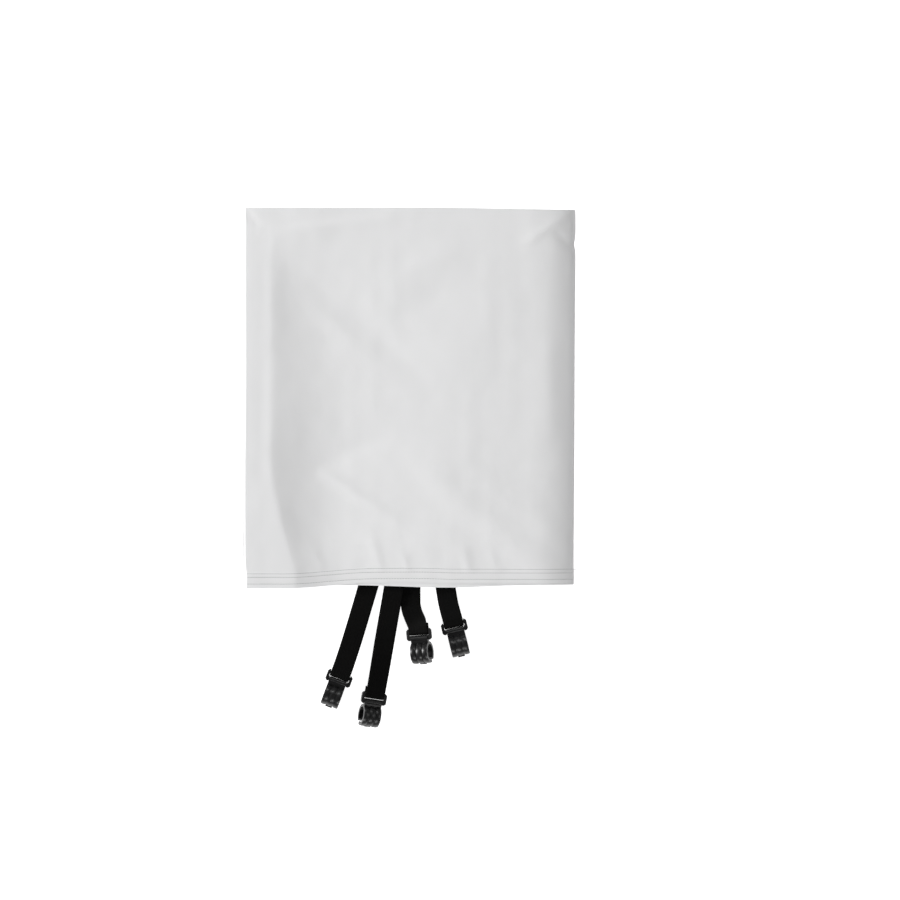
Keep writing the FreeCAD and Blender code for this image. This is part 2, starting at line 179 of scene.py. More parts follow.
def wovenWebbing(name):
    # Black webbing: lengthwise ribs of a fine chevron weave.
    look = {"ribPitch": 0.00175, "pickPitch": 0.0011, "height": 0.00016}
    material, graph, shader = newMaterial(name, {
        "Roughness": 0.70, "Specular IOR Level": 0.05, "Sheen Weight": 0.006,
        "Sheen Roughness": 0.35,
    })
    flat = graph.node("ShaderNodeUVMap", {"uv_map": "flat"})
    parts = graph.node("ShaderNodeSeparateXYZ", inputs={0: flat})
    along = Wire(graph, graph.outputs(parts)[0])
    across = Wire(graph, graph.outputs(parts)[1])
    zigzag = graph.node("ShaderNodeMath", {"operation": "PINGPONG"},
                        {0: across, 1: look["ribPitch"]})
    lean = (along + zigzag * 0.9) * (2 * math.pi / look["pickPitch"])
    pick = graph.node("ShaderNodeMath", {"operation": "SINE"}, {0: lean})
    rib = graph.node("ShaderNodeMath", {"operation": "COSINE"},
                     {0: across * (2 * math.pi / look["ribPitch"])})
    yarn = pick * 0.5 + 0.5
    fuzz = graph.node("ShaderNodeTexNoise", inputs={"Vector": flat, "Scale": 900.0, "Detail": 2.0})
    light = yarn * 0.55 + fuzz * 0.45
    colour = graph.node("ShaderNodeValToRGB",
                        {"stops": [(0.15, (0.0006, 0.0006, 0.0006)), (0.9, (0.0048, 0.0046, 0.0043))]},
                        {0: light})
    link(graph, colour, shader, "Base Color")
    link(graph, 0.52 + fuzz * 0.22, shader, "Roughness")
    height = (pick * 0.6 + rib * 0.4) * look["height"]
    bump = graph.node("ShaderNodeBump", inputs={"Strength": 0.7, "Distance": 1.0, "Height": height})
    link(graph, bump, shader, "Normal")
    return material


def mouldedPlastic(name, seed):
    # Glossy black moulding with a faint orange peel and fine handling marks.
    material, graph, shader = newMaterial(name, {
        "Specular IOR Level": 0.40, "Coat Weight": 0.06, "Coat Roughness": 0.22,
    })
    objectSpace = Wire(graph, graph.tree.nodes.new("ShaderNodeTexCoord").outputs["Object"])
    peel = graph.node("ShaderNodeTexNoise", {"noise_dimensions": "4D"},
                      {"Vector": objectSpace, "W": seed, "Scale": 700.0, "Detail": 2.0})
    marks = graph.node("ShaderNodeTexNoise", {"noise_dimensions": "4D"},
                       {"Vector": objectSpace, "W": seed + 1.0, "Scale": 120.0, "Detail": 5.0,
                        "Roughness": 0.7, "Distortion": 0.6})
    colour = graph.node("ShaderNodeValToRGB",
                        {"stops": [(0.3, (0.003, 0.003, 0.0032)), (0.75, (0.0075, 0.0075, 0.008))]},
                        {0: marks})
    link(graph, colour, shader, "Base Color")
    link(graph, 0.27 + marks * 0.14, shader, "Roughness")
    bump = graph.node("ShaderNodeBump",
                      inputs={"Strength": 0.25, "Distance": 1.0, "Height": peel * 0.000015})
    link(graph, bump, shader, "Normal")
    return material


def sewingThread(name, tone):
    # Twisted thread, its ply lines on the bump.
    material, graph, shader = newMaterial(name, {
        "Roughness": 0.55, "Sheen Weight": 0.3, "Specular IOR Level": 0.3,
    })
    objectSpace = Wire(graph, graph.tree.nodes.new("ShaderNodeTexCoord").outputs["Object"])
    ply = graph.node("ShaderNodeTexWave", {"bands_direction": "DIAGONAL"},
                     {"Vector": objectSpace, "Scale": 900.0, "Distortion": 1.0})
    colour = graph.node("ShaderNodeMix", {"data_type": "RGBA", "blend_type": "MULTIPLY"},
                        {"Factor": 1.0, 6: (*tone, 1.0), 7: 0.8 + ply * 0.25}, output=2)
    link(graph, colour, shader, "Base Color")
    bump = graph.node("ShaderNodeBump",
                      inputs={"Strength": 0.4, "Distance": 1.0, "Height": ply * 0.00008})
    link(graph, bump, shader, "Normal")
    return material


fabricMaterial = coatedFabric("coated_fabric", (0.742, 0.743, 0.747), 1.0)
patchMaterial = coatedFabric("patch_fabric", (0.70, 0.702, 0.708), 5.0)
webbingMaterial = wovenWebbing("black_webbing")
sliderMaterial = mouldedPlastic("slider_plastic", 2.0)
clipMaterial = mouldedPlastic("clip_plastic", 6.0)
threadMaterial = sewingThread("grey_thread", (0.19, 0.192, 0.20))
blackThreadMaterial = sewingThread("black_thread", (0.03, 0.03, 0.032))
print("materials made")


def meshFromGrids(name, grids, material, sharpAngle=50):
    # One object from (points, faces, flat coordinates) grids, placed as they are.
    points, faces, flats = [], [], []
    for gridPoints, gridFaces, gridFlats in grids:
        faces.append(gridFaces + sum(len(p) for p in points))
        points.append(gridPoints)
        flats.append(gridFlats)
    points = np.concatenate(points)
    faces = np.concatenate(faces)
    flats = np.concatenate(flats)
    mesh = bpy.data.meshes.new(name)
    mesh.vertices.add(len(points))
    mesh.vertices.foreach_set("co", points.astype(np.float32).ravel())
    mesh.loops.add(faces.size)
    mesh.loops.foreach_set("vertex_index", faces.astype(np.int32).ravel())
    mesh.polygons.add(len(faces))
    starts = np.arange(len(faces), dtype=np.int32) * faces.shape[1]
    mesh.polygons.foreach_set("loop_start", starts)
    mesh.polygons.foreach_set("use_smooth", np.ones(len(faces), dtype=bool))
    layer = mesh.uv_layers.new(name="flat")
    layer.data.foreach_set("uv", flats[faces.ravel()].astype(np.float32).ravel())
    mesh.update(calc_edges=True)
    mesh.validate()
    mesh.set_sharp_from_angle(angle=math.radians(sharpAngle))
    mesh.materials.append(material)
    piece = bpy.data.objects.new(name, mesh)
    bpy.context.collection.objects.link(piece)
    return piece


def smoothStep(low, high, value):
    share = np.clip((value - low) / (high - low), 0, 1)
    return share * share * (3 - 2 * share)


def waves(seed, count, scale):
    # A smooth noise made of a few random plane waves; scale is its grain in metres, per axis.
    source = random.Random(seed)
    rows = []
    for _ in range(count):
        direction = [source.gauss(0, 1) / s for s in scale]
        rows.append((direction, source.uniform(0, 2 * math.pi)))

    def noise(x, y, z):
        total = 0
        for (kx, ky, kz), phase in rows:
            total = total + np.sin(kx * x + ky * y + kz * z + phase)
        return total / math.sqrt(count)

    return noise


spineLow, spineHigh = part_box("cover_spine")
baseLow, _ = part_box("cover_lower_half")
hemLow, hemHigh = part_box("cover_lower_hem")
stackHeight = spineHigh.z
layerCount = 16
pitch = stackHeight / layerCount
leftEdge = baseLow.x
frontEdge = hemLow.y
spineX = spineLow.x

cover = {
    "thickness": 0.00042,
    "hemHeight": hemHigh.y - hemLow.y,
    "hemExtra": 0.00055,
    "foldInset": 0.004,
    "rearHemDrop": 0.0005,
    "lastPanelExtra": 0.0027,
    "creepLeft": 0.04,
    "foldFlat": 0.35,
    "rows": [0.0053, 0.0134, 0.0181],
    "rowDip": 0.00016,
}
# Steps of the mesh over the sheet: wide where it is flat, close at folds, hems and seams.
grid = {
    "coarse": 0.013, "fine": 0.0032, "nearHem": 0.0024, "row": 0.00047, "hem": 0.0005,
    "edge": 0.0006, "wideArc": 0.0005, "tightArc": 0.0003, "leftArc": 0.0008,
    "spineOuter": 0.0011, "spineInner": 0.0007, "normalStep": 0.0002,
}

# Fold lines on the flat sheet: u runs across it, v up from the front hem.
creaseSpine = spineX - leftEdge
foldFlat = cover["foldFlat"]
leftTurn = math.pi * (7.5 - 7 * cover["creepLeft"]) - 3.5 * foldFlat
creaseLeft = 2 * creaseSpine + leftTurn * pitch
creaseTop = (spineHigh.y - frontEdge) - 1.5 * foldFlat * pitch
creaseFront = 2 * creaseTop + math.pi * 1.5 * pitch - cover["foldInset"]
sheetWidth = 2 * creaseLeft + cover["lastPanelExtra"]
sheetDepth = 2 * creaseFront + math.pi * 0.5 * pitch + cover["rearHemDrop"]


def foldOver(s, z, crease, axisHeight, flat=1.0):
    # Rolls what lies beyond the crease over the top; a flat roll is pressed thin.
    radius = axisHeight - z
    angle = np.clip((s - crease) / radius, 0, math.pi)
    beyond = np.maximum(s - crease - math.pi * radius, 0)
    folded = s > crease
    newS = np.where(folded, crease + radius * flat * np.sin(angle) - beyond, s)
    newZ = np.where(folded, axisHeight - radius * np.cos(angle), z)
    return newS, newZ


hang = {}
for strap in straps:
    lift = joints[f"{strap}_lift"]
    across = -Vector(lift["axis"])
    outward = Vector((across.y, -across.x, 0)).normalized()
    pivot = Vector(lift["pos_m"])
    atHem = pivot + outward * ((frontEdge - pivot.y) / outward.y)
    hang[strap] = {
        "pivot": pivot, "outward": outward, "across": across.normalized(), "atHem": atHem,
        "high": pivot.z > stackHeight / 4,
    }

webbing = {
    "width": 0.025, "thickness": 0.0015, "hidden": 0.060, "room": 0.0018,
    "ribs": 14, "ribHeight": 0.00010,
}
patch = {
    "width": 0.032, "length": 0.038, "thickness": 0.0004, "box": 0.019,
    "stitch": {"Stitch Length": 0.0024, "Gap": 0.0006, "Thread Width": 0.0007,
               "Thread Height": 0.00035},
}


def strapRoom(x, y, high):
    # 1 over the hidden ends of the straps at that level, fading to 0 around them.
    room = 0
    for strap in straps:
        place = hang[strap]
        if place["high"] != high:
            continue
        dx = x - place["atHem"].x
        dy = y - place["atHem"].y
        side = np.abs(dx * place["across"].x + dy * place["across"].y)
        behind = -(dx * place["outward"].x + dy * place["outward"].y)
        near = 1 - smoothStep(webbing["width"] / 2, webbing["width"] * 1.5, side)
        near = near * (1 - smoothStep(webbing["hidden"], webbing["hidden"] + 0.05, behind))
        room = np.maximum(room, near)
    return room


# Soft ridges of the top face: start, end, widths of its left and right slopes, height.
ridges = [
    ((-0.034, 0.126), (0.056, 0.190), 0.018, 0.026, 0.0009),
    ((0.098, 0.070), (0.086, 0.190), 0.040, 0.040, 0.0006),
    ((-0.104, -0.096), (-0.022, -0.152), 0.008, 0.009, 0.0009),
    ((-0.112, -0.086), (-0.034, -0.048), 0.012, 0.012, -0.0006),
    ((0.175, -0.222), (0.022, -0.094), 0.020, 0.026, 0.0017),
    ((0.200, -0.190), (0.070, -0.086), 0.014, 0.018, 0.0008),
    ((-0.186, -0.104), (-0.184, 0.040), 0.010, 0.010, -0.0004),
    ((-0.165, 0.206), (0.000, 0.228), 0.006, 0.011, 0.0006),
    ((-0.206, 0.236), (-0.190, 0.214), 0.005, 0.005, -0.0006),
    ((0.146, 0.196), (0.198, 0.233), 0.006, 0.007, 0.0007),
    ((0.182, 0.207), (0.211, 0.184), 0.005, 0.005, -0.0007),
    ((0.176, -0.040), (0.173, 0.066), 0.014, 0.012, 0.0006),
    ((-0.034, -0.224), (-0.046, -0.180), 0.008, 0.006, 0.0005),
    ((0.000, -0.224), (-0.010, -0.196), 0.007, 0.005, 0.0004),
    ((0.076, -0.224), (0.068, -0.190), 0.008, 0.006, 0.0005),
    ((0.112, -0.224), (0.102, -0.198), 0.007, 0.005, 0.0004),
    ((-0.104, -0.224), (-0.118, -0.192), 0.008, 0.006, 0.0004),
]
# A crease where the face drops towards its right: start, end, width, drop.
steps = [
    ((-0.008, 0.030), (-0.140, 0.146), 0.034, 0.0020),
    ((0.040, 0.128), (-0.010, 0.092), 0.030, 0.0006),
]
spineRound = {"start": 0.150, "end": 0.2085, "drop": 0.0094, "power": 2.7}
# Changes along the cover are lists of (amount, where it starts, where it is complete).
trough = {
    "left": -0.174, "leftShifts": [(0.010, -0.08, -0.15), (0.020, -0.13, -0.225)],
    "width": 0.022,
    "widthShifts": [(0.074, 0.190, 0.010), (-0.018, -0.02, -0.10), (-0.018, -0.10, -0.21)],
    "depth": 0.0088, "depthShares": [(0.72, 0.212, 0.060), (0.28, 0.06, -0.06)],
    "frontEase": [(0.35, -0.14, -0.225)], "steepness": 0.66,
    "lift": 0.20, "rise": 0.02, "riseWidth": 0.032, "recover": 0.42, "recoverWidth": 0.16,
}
# Fine texture of the top face, and the gathering of the cloth behind the last seam row.
wrinkles = {
    "crumple": 0.00012, "pucker": 0.00010, "swell": 0.00022, "stepFade": 0.10,
    "gatherBefore": 0.003, "gatherBehind": 0.016,
}
# How the front hems wander from a straight line, and how far back that reaches.
hemLine = {
    "upper": -0.0019, "upperShifts": [(0.0064, -0.160, -0.040), (-0.0012, 0.011, 0.060)],
    "lower": 0.0025, "lowerBow": 0.0036, "bowMiddle": 0.045, "bowWidth": 0.075,
    "fadeStart": 0.02, "fadeEnd": 0.16,
}
# How the stack was pulled, pinched and nudged as it was laid down.
laid = {
    "rearSlip": 0.0022, "narrowing": 0.0026, "widening": 0.0017, "narrowFrom": 0.05,
    "pinch": 0.0016, "pinchAt": 0.194, "pinchWidth": 0.007, "pinchFrom": 0.17,
    "lowestOut": [(0.0010, 0, -0.02), (0.0026, -0.02, -0.20)],
    "outStart": 0.0320, "outEnd": 0.0335, "outLayers": 3, "edge": 0.1,
    "topInset": 0.0016, "insetStart": 0.034, "insetEnd": 0.015,
    "drift": 0.00016, "leanX": 0.0003, "leanY": 0.0002,
}


def shifts(value, stages):
    return sum(amount * smoothStep(start, end, value) for amount, start, end in stages)


def leftTrough(x, y):
    # A long hollow right of the left strip, its left side steep and its right side soft.
    left = trough["left"] + shifts(y, trough["leftShifts"])
    width = trough["width"] + shifts(y, trough["widthShifts"])
    depth = trough["depth"] * shifts(y, trough["depthShares"])
    depth = depth * (1 - shifts(y, trough["frontEase"]))
    share = np.clip((x - left) / width, 0, 1)
    fall = smoothStep(0, 1, share ** trough["steepness"])
    rise = trough["rise"] * smoothStep(leftEdge, leftEdge + trough["riseWidth"], x)
    far = left + width
    recover = trough["recover"] * smoothStep(far, far + trough["recoverWidth"], x)
    return depth * (trough["lift"] + rise - fall + recover)


def fadeAndAside(x, y, start, end):
    # 1 along a line, fading out past its ends, and how far to its right.
    (ax, ay), (bx, by) = start, end
    length = math.hypot(bx - ax, by - ay)
    ux, uy = (bx - ax) / length, (by - ay) / length
    along = ((x - ax) * ux + (y - ay) * uy) / length
    fade = smoothStep(-0.25, 0.2, along) * (1 - smoothStep(0.8, 1.25, along))
    return fade, (x - ax) * uy - (y - ay) * ux


drift = waves(11, 14, (0.060, 0.060, 0.0035))
lean = waves(12, 10, (0.200, 0.060, 0.0020))
swell = waves(13, 10, (0.070, 0.070, 0.050))
crumple = waves(14, 30, (0.009, 0.009, 1.0))
pucker = waves(15, 12, (0.0022, 0.020, 1.0))


def topRelief(x, y):
    relief = 0
    for start, end, leftWidth, rightWidth, height in ridges:
        fade, side = fadeAndAside(x, y, start, end)
        width = np.where(side < 0, leftWidth, rightWidth)
        relief = relief + height * np.exp(-(side / width) ** 2) * fade
    for start, end, width, drop in steps:
        fade, side = fadeAndAside(x, y, start, end)
        fall = smoothStep(-width / 2, width / 2, side)
        fall = fall * np.exp(-np.maximum(side, 0) / wrinkles["stepFade"])
        relief = relief - drop * fall * fade
    share = np.clip((x - spineRound["start"]) / (spineRound["end"] - spineRound["start"]), 0, 1)
    relief = relief - spineRound["drop"] * share ** spineRound["power"] + leftTrough(x, y)
    seam = frontEdge + cover["rows"][2]
    gathered = smoothStep(seam - wrinkles["gatherBefore"], seam, y)
    gathered = gathered * (1 - smoothStep(seam, seam + wrinkles["gatherBehind"], y))
    fineRelief = wrinkles["crumple"] * crumple(x, y, 0) + wrinkles["pucker"] * pucker(x, y, 0) * gathered
    return relief + wrinkles["swell"] * swell(x, y, 0) + fineRelief


def hemShift(x, top):
    # How far the front hems lie from a straight line: the top one, and those below it.
    upper = hemLine["upper"] + shifts(x, hemLine["upperShifts"])
    bow = np.exp(-((x - hemLine["bowMiddle"]) / hemLine["bowWidth"]) ** 2)
    lower = hemLine["lower"] - hemLine["lowerBow"] * bow
    return upper * top + lower * (1 - top)


def settle(x, y, z, top):
    # Turns the ideal stack into one that has been pressed, pulled and laid down.
    lowRoom = strapRoom(x, y, False)
    highRoom = strapRoom(x, y, True)
    squeeze = 1 - webbing["room"] * (lowRoom + highRoom) / stackHeight
    openLow = smoothStep(0.9 * pitch, 1.1 * pitch, z) * lowRoom
    openHigh = smoothStep(6.9 * pitch, 7.1 * pitch, z) * highRoom
    newZ = z * squeeze + webbing["room"] * (openLow + openHigh)
    level = z / stackHeight
    newZ = newZ + topRelief(x, y) * level ** 1.5
    newZ = newZ + laid["drift"] * drift(x, y, z) * np.minimum(z / pitch, 1)
    back, right = spineHigh.y, spineHigh.x
    behind = y - frontEdge
    near = 1 - smoothStep(hemLine["fadeStart"], hemLine["fadeEnd"], behind)
    newY = y - laid["rearSlip"] * smoothStep(0, right, x) * smoothStep(0, back, y)
    newY = newY + hemShift(x, top) * near
    narrowing = laid["narrowing"] * smoothStep(back, frontEdge, y) - laid["widening"]
    narrowing = narrowing * smoothStep(laid["narrowFrom"], right, x)
    pinch = laid["pinch"] * np.exp(-((y - laid["pinchAt"]) / laid["pinchWidth"]) ** 2)
    pinch = pinch * smoothStep(laid["pinchFrom"], right, x)
    # The lowest layers stand out a little on the left, down to the hem.
    out = shifts(y, laid["lowestOut"]) * smoothStep(laid["outStart"], laid["outEnd"], behind)
    out = out * (1 - smoothStep(0, laid["outLayers"] * pitch, z))
    inset = laid["topInset"] * smoothStep(laid["insetStart"], laid["insetEnd"], behind)
    inset = inset * smoothStep(0.4, 0.6, level)
    atLeft = 1 - smoothStep(leftEdge, leftEdge + laid["edge"], x)
    newX = x - narrowing - pinch + (inset - out) * atLeft
    newX = newX + laid["leanX"] * lean(x, y, z)
    newY = newY + laid["leanY"] * lean(y, x, z)
    return newX, newY, newZ


def coverPoint(u, v):
    # Where a point of the flat sheet lies in the folded cover.
    height = np.full_like(u, 0.5 * pitch)
    y, z = foldOver(v, height, creaseFront, pitch)
    y, z = foldOver(y, z, creaseTop, 2 * pitch, foldFlat)
    x, z = foldOver(u, z, creaseLeft, 4 * pitch, foldFlat)
    x, z = foldOver(x, z, creaseSpine, 8 * pitch)
    # Inner layers have a shorter way round the spine; most of that is eased back.
    shorter = math.pi * (15.5 * pitch - z) * (z > 8 * pitch)
    x = x + shorter * (1 - cover["creepLeft"]) * np.clip(1 - x / creaseSpine, 0, 1.1)
    topPanel = smoothStep(0.55, 0.75, z / stackHeight) * (v < creaseTop)
    x, y, z = settle(x + leftEdge, y + frontEdge, z, topPanel)
    return np.stack([x, y, z], axis=-1)


def coverNormal(u, v):
    # Unit normal of the sheet's inner face.
    step = grid["normalStep"]
    du = coverPoint(u + step, v) - coverPoint(u - step, v)
    dv = coverPoint(u, v + step) - coverPoint(u, v - step)
    normal = np.cross(du, dv)
    return normal / np.maximum(np.linalg.norm(normal, axis=-1, keepdims=True), 1e-12)


def halfThickness(u, v):
    # Half the cloth's thickness, more where the hem is turned under.
    edge = np.minimum(v, sheetDepth - v)
    side = np.minimum(u, sheetWidth - u)
    hem = cover["hemHeight"]
    turned = 1 - smoothStep(hem - 0.0008, hem + 0.0008, np.minimum(edge, side + 0.002))
    dip = sum(np.exp(-((edge - row) / 0.0007) ** 2) for row in cover["rows"])
    return cover["thickness"] / 2 + (cover["hemExtra"] / 2 - cover["rowDip"] * dip) * turned


def clothGrid(middle, offset, u, v):
    # A closed strip of cloth from its middle surface and half its thickness, as a vector.
    index = np.arange(u.size).reshape(u.shape)
    other = index + u.size
    a, b, c, d = index[:-1, :-1], index[1:, :-1], index[1:, 1:], index[:-1, 1:]
    faces = [np.stack([a, b, c, d], -1).reshape(-1, 4)]
    faces.append(np.stack([a, d, c, b], -1).reshape(-1, 4) + u.size)
    faces.append(np.stack([index[:-1, 0], other[:-1, 0], other[1:, 0], index[1:, 0]], -1))
    faces.append(np.stack([index[1:, -1], other[1:, -1], other[:-1, -1], index[:-1, -1]], -1))
    faces.append(np.stack([index[0, 1:], other[0, 1:], other[0, :-1], index[0, :-1]], -1))
    faces.append(np.stack([index[-1, :-1], other[-1, :-1], other[-1, 1:], index[-1, 1:]], -1))
    inner, outer = (middle + offset).reshape(-1, 3), (middle - offset).reshape(-1, 3)
    flats = np.stack([u.ravel(), v.ravel()], -1)
    return np.concatenate([inner, outer]), np.concatenate(faces), np.concatenate([flats, flats])


def sheetGrid(us, vs):
    u, v = np.meshgrid(us, vs, indexing="ij")
    return clothGrid(coverPoint(u, v), coverNormal(u, v) * halfThickness(u, v)[..., None], u, v)


def gridLines(low, high, zones, step):
    # Grid lines from low to high: step apart, and closer inside each (start, end, step) zone.
    lines = [low, high]
    cursor = low
    for start, end, zoneStep in sorted(zones):
        start, end = max(start, low), min(end, high)
        if end <= start:
            continue
        if start > cursor:
            count = max(1, round((start - cursor) / step))
            lines += list(np.linspace(cursor, start, count + 1))
        count = max(1, round((end - start) / zoneStep))
        lines += list(np.linspace(start, end, count + 1))
        cursor = end
    if cursor < high:
        count = max(1, round((high - cursor) / step))
        lines += list(np.linspace(cursor, high, count + 1))
    return np.unique(np.round(lines, 7))


fine, coarse = grid["fine"], grid["coarse"]
hem = cover["hemHeight"]
topArc = (creaseTop - 0.002, creaseTop + math.pi * 1.5 * pitch + 0.002, grid["wideArc"])
tightTurn = math.pi * 0.5 * pitch + 0.001
frontArc = (creaseFront - 0.001, creaseFront + tightTurn, grid["tightArc"])
rearFold = 2 * creaseFront - creaseTop
rearArc = (rearFold - 0.001, rearFold + tightTurn, grid["tightArc"])
hemZones = [
    (0, 0.0012, grid["edge"]), (hem - 0.0015, hem + 0.0015, grid["hem"]),
    (sheetDepth - hem - 0.0015, sheetDepth - hem + 0.0015, grid["hem"]),
    (sheetDepth - 0.0012, sheetDepth, grid["edge"]),
]
vZones = [topArc, frontArc, rearArc] + hemZones
rowZones = [(row - 0.0014, row + 0.0014, grid["row"]) for row in cover["rows"][:2]]
face = [(hem + 0.0015, hem + 0.040, grid["nearHem"]), (hem + 0.040, creaseTop - 0.002, fine)]
vFine = gridLines(0, sheetDepth, vZones + rowZones + face, coarse)
vCoarse = gridLines(0, sheetDepth, vZones + [(0.031, 0.035, grid["hem"])], coarse)

margin = 0.005
spineEnd = creaseSpine + math.pi * 7.5 * pitch + margin
innerStart = 2 * creaseLeft - creaseSpine - math.pi * 3 * pitch - margin
innerEnd = 2 * creaseLeft - creaseSpine + math.pi * 3.5 * pitch + margin
leftArc = (creaseLeft - 0.001, creaseLeft + math.pi * 3.5 * pitch + 0.001, grid["leftArc"])


def makeCover():
    panelOne = sheetGrid(gridLines(0, creaseSpine - margin, [], coarse), vCoarse)
    panelFour = sheetGrid(gridLines(innerEnd, sheetWidth, [], coarse), vFine)
    base = meshFromGrids("cover_base_fabric", [panelOne, panelFour], fabricMaterial)
    panelTwo = sheetGrid(gridLines(spineEnd, creaseLeft - 0.001, [], fine), vFine)
    lidLines = gridLines(creaseLeft - 0.001, innerStart, [leftArc], coarse)
    panelThree = sheetGrid(lidLines, vFine)
    lid = meshFromGrids("cover_lid_fabric", [panelTwo, panelThree], fabricMaterial)
    return base, lid


def makeSpines():
    # The thick fold: one strip for each layer that turns round it, with its radius.
    cuts = [0, creaseTop + math.pi * 0.75 * pitch, creaseFront + math.pi * 0.25 * pitch,
            rearFold + math.pi * 0.25 * pitch, sheetDepth]
    outerRadii = [7.5, 4.5, 5.5, 6.5]
    innerRadii = [0.5, 3.5, 2.5, 1.5]
    outerZone = (creaseSpine - 0.001, spineEnd, grid["spineOuter"])
    outerLines = gridLines(creaseSpine - margin, spineEnd, [outerZone], fine)
    innerLines = gridLines(innerStart, innerEnd, [(innerStart, innerEnd, grid["spineInner"])], fine)
    spines = []
    for side, lines, radii in (("outer", outerLines, outerRadii), ("inner", innerLines, innerRadii)):
        for i, radius in enumerate(radii):
            inside = vFine[(vFine > cuts[i]) & (vFine < cuts[i + 1])]
            vs = np.concatenate([[cuts[i]], inside, [cuts[i + 1]]])
            name = f"cover_spine_{side}_{i + 1}"
            piece = meshFromGrids(name, [sheetGrid(lines, vs)], fabricMaterial)
            spines.append((piece, radius * pitch, (lines[-1] - lines[0], vs[-1] - vs[0])))
    return spines


coverBase, coverLid = makeCover()
spines = makeSpines()
print("cover folded:", round(sheetWidth, 3), "by", round(sheetDepth, 3), "m flat")


def stitchTree():
    # Stitches of a given length and gap along every guide line.
    tree = bpy.data.node_groups.new("stitches", "GeometryNodeTree")
    face = tree.interface
    face.new_socket("Geometry", in_out="INPUT", socket_type="NodeSocketGeometry")
    for name, value in (("Stitch Length", 0.0027), ("Gap", 0.0006), ("Thread Width", 0.0006),
                        ("Thread Height", 0.0004), ("Waviness", 0.05)):
        socket = face.new_socket(name, in_out="INPUT", socket_type="NodeSocketFloat")
        socket.default_value = value
    face.new_socket("Seed", in_out="INPUT", socket_type="NodeSocketInt")
    face.new_socket("Material", in_out="INPUT", socket_type="NodeSocketMaterial")
    face.new_socket("Geometry", in_out="OUTPUT", socket_type="NodeSocketGeometry")
    graph = Graph(tree)
    start = tree.nodes.new("NodeGroupInput")
    given = {s.name: Wire(graph, s) for s in start.outputs if s.name}
    curve = graph.node("GeometryNodeMeshToCurve", inputs={0: given["Geometry"]})
    step = given["Stitch Length"] + given["Gap"]
    points = graph.node("GeometryNodeCurveToPoints", {"mode": "LENGTH"},
                        {"Curve": curve, "Length": step})
    tangent = Wire(graph, graph.outputs(points)[1])
    capturedUp = graph.node("GeometryNodeInputNamedAttribute", {"data_type": "FLOAT_VECTOR"},
                            {"Name": "up"})
    flatTurn = graph.node("FunctionNodeAlignRotationToVector", {"axis": "X"},
                          {"Vector": tangent})
    turned = graph.node("FunctionNodeAlignRotationToVector", {"axis": "Z", "pivot_axis": "X"},
                        {"Rotation": flatTurn, "Vector": capturedUp})
    wobble = graph.node("FunctionNodeRandomValue", {"data_type": "FLOAT"},
                        {2: given["Waviness"] * -1, 3: given["Waviness"], "Seed": given["Seed"]},
                        output=1)
    twist = graph.node("ShaderNodeCombineXYZ", inputs={"Z": wobble})
    turned = graph.node("FunctionNodeRotateRotation", {"rotation_space": "LOCAL"},
                        {0: turned, 1: graph.node("FunctionNodeEulerToRotation", inputs={0: twist})})
    bead = graph.node("GeometryNodeMeshUVSphere",
                      inputs={"Segments": 8, "Rings": 6, "Radius": 0.5})
    size = graph.node("ShaderNodeCombineXYZ", inputs={
        "X": given["Stitch Length"], "Y": given["Thread Width"], "Z": given["Thread Height"]})
    placed = graph.node("GeometryNodeInstanceOnPoints",
                        inputs={"Points": points, "Instance": bead, "Rotation": turned,
                                "Scale": size})
    real = graph.node("GeometryNodeRealizeInstances", inputs={0: placed})
    smooth = graph.node("GeometryNodeSetShadeSmooth", inputs={0: real})
    coloured = graph.node("GeometryNodeSetMaterial",
                          inputs={0: smooth, "Material": given["Material"]})
    end = tree.nodes.new("NodeGroupOutput")
    tree.links.new(coloured.socket, end.inputs[0])
    return tree


stitchNodes = stitchTree()


def guideLines(name, lines):
    # A mesh of edges: each line is a list of (point, up) pairs.
    points, ups, edges = [], [], []
    for line in lines:
        first = len(points)
        points += [tuple(p) for p, _ in line]
        ups += [tuple(n) for _, n in line]
        edges += [(first + i, first + i + 1) for i in range(len(line) - 1)]
    mesh = bpy.data.meshes.new(name)
    mesh.from_pydata(points, edges, [])
    up = mesh.attributes.new("up", "FLOAT_VECTOR", "POINT")
    up.data.foreach_set("vector", np.array(ups, np.float32).ravel())
    guide = bpy.data.objects.new(name, mesh)
    bpy.context.collection.objects.link(guide)
    return guide


def sew(name, lines, material, sizes, seed):
    # Turns guide lines into a plain mesh of stitches.
    guide = guideLines(name + "_guide", lines)
    modifier = guide.modifiers.new("stitches", "NODES")
    modifier.node_group = stitchNodes
    wanted = dict(sizes, Seed=seed, Material=material)
    for item in stitchNodes.interface.items_tree:
        if item.in_out == "INPUT" and item.name in wanted:
            modifier[item.identifier] = wanted[item.name]
    bpy.context.view_layer.update()
    evaluated = guide.evaluated_get(bpy.context.evaluated_depsgraph_get())
    mesh = bpy.data.meshes.new_from_object(evaluated)
    mesh.name = name
    guide.modifiers.remove(modifier)
    bpy.data.objects.remove(guide)
    piece = bpy.data.objects.new(name, mesh)
    bpy.context.collection.objects.link(piece)
    return piece


hemRows = {
    "lift": 0.00002, "step": 0.004,
    "stitch": {"Stitch Length": 0.0026, "Gap": 0.0008, "Thread Width": 0.00055,
               "Thread Height": 0.00040},
}


def hemGuides(start, end):
    # Lines along the outer face of the front hem, between two widths on the sheet.
    lines = []
    for row in cover["rows"]:
        us = np.linspace(start, end, max(8, int((end - start) / hemRows["step"])))
        vs = np.full_like(us, row)
        normal = coverNormal(us, vs)
        away = halfThickness(us, vs)[:, None] + hemRows["lift"]
        points = coverPoint(us, vs) - normal * away
        lines.append(list(zip(points, -normal)))
    return lines


